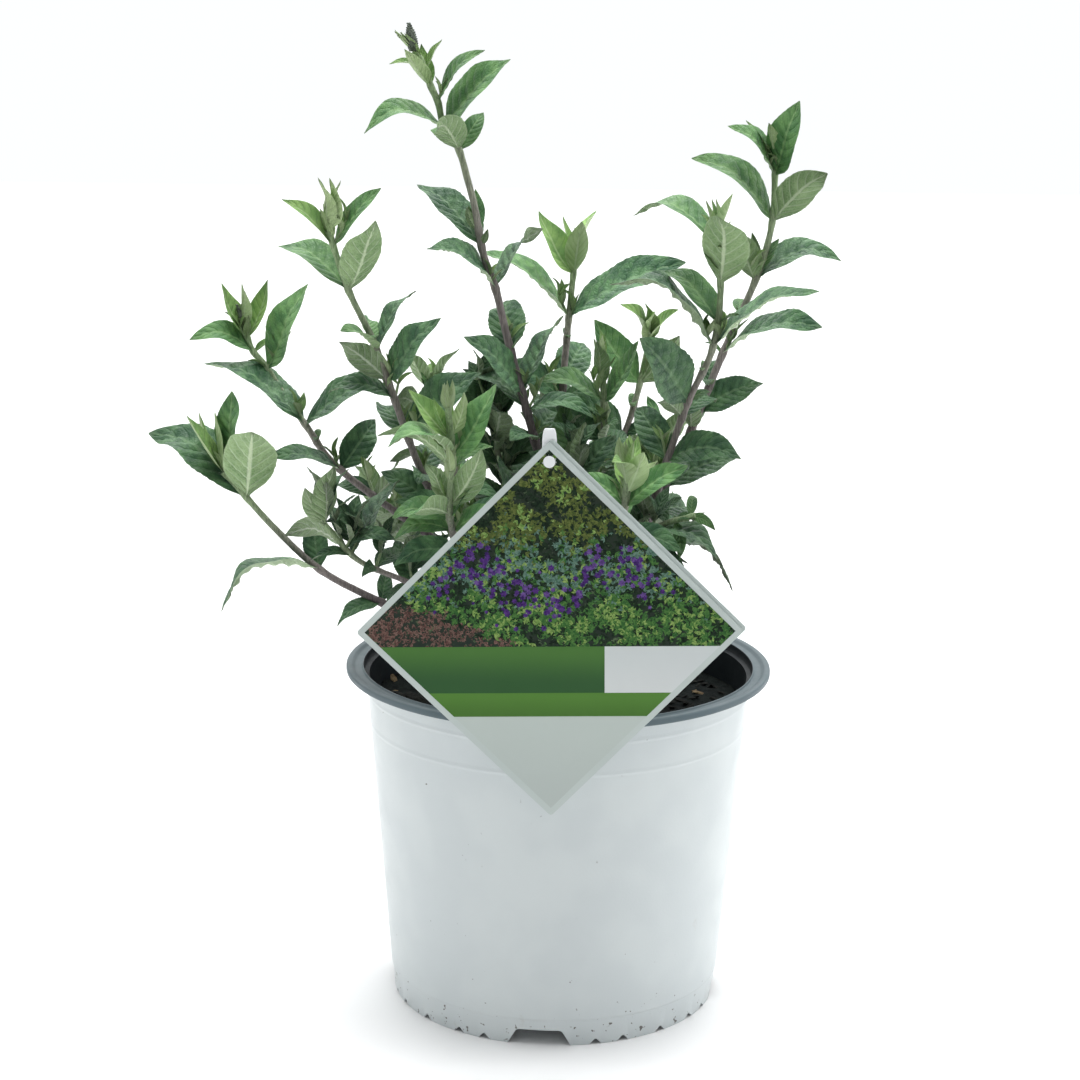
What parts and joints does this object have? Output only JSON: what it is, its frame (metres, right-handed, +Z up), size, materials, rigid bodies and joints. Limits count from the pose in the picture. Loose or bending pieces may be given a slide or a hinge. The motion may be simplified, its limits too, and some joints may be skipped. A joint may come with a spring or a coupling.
{
  "type": "potted butterfly bush",
  "caption": "Young butterfly bush with upright leafy shoots in a tapered round nursery pot, with a square plant tag hung corner-up on a plastic holder at the front.",
  "frame": {"origin": "middle of the underside of the pot, on the surface that it stands on", "axes": "+Z up, -Y towards the side that carries the tag, +X to the right as seen from the tag side"},
  "size_m": [0.3199, 0.219, 0.4561],
  "materials": {
    "pot_plastic": "satin, off-white outside, grey rim, black inside",
    "potting_mix": "matte, damp bark and peat",
    "tag_sheet": "satin, printed",
    "holder_plastic": "satin",
    "bark": "matte",
    "foliage": "matte, felted"
  },
  "bodies": {
    "root": {"pot": "pot_plastic", "potting_mix": "potting_mix", "tag_front": "tag_sheet", "tag_back": "tag_sheet", "tag_holder": "holder_plastic", "crown_stem": "bark", "bough_centre": "bark", "bough_left": "bark", "bough_low_left": "bark", "bough_front_left": "bark", "bough_front_right": "bark", "bough_right": "bark", "bough_back_right": "bark", "bough_back": "bark", "bough_back_left": "bark", "shoot_tall": "foliage", "shoot_left_front": "foliage", "shoot_left": "foliage", "shoot_low_left": "foliage", "twig_low_left": "foliage", "shoot_front_high": "foliage", "shoot_front_low": "foliage", "shoot_back": "foliage", "shoot_centre": "foliage", "shoot_back_right": "foliage", "shoot_right_front": "foliage", "shoot_right": "foliage", "shoot_front_right": "foliage", "twig_low_right": "foliage", "shoot_inner_left": "foliage", "shoot_inner_right": "foliage", "shoot_rear_left": "foliage", "shoot_rear_low_left": "foliage", "shoot_rear_right": "foliage", "shoot_rear_low_right": "foliage", "shoot_rear_centre": "foliage"}
  },
  "joints": []
}
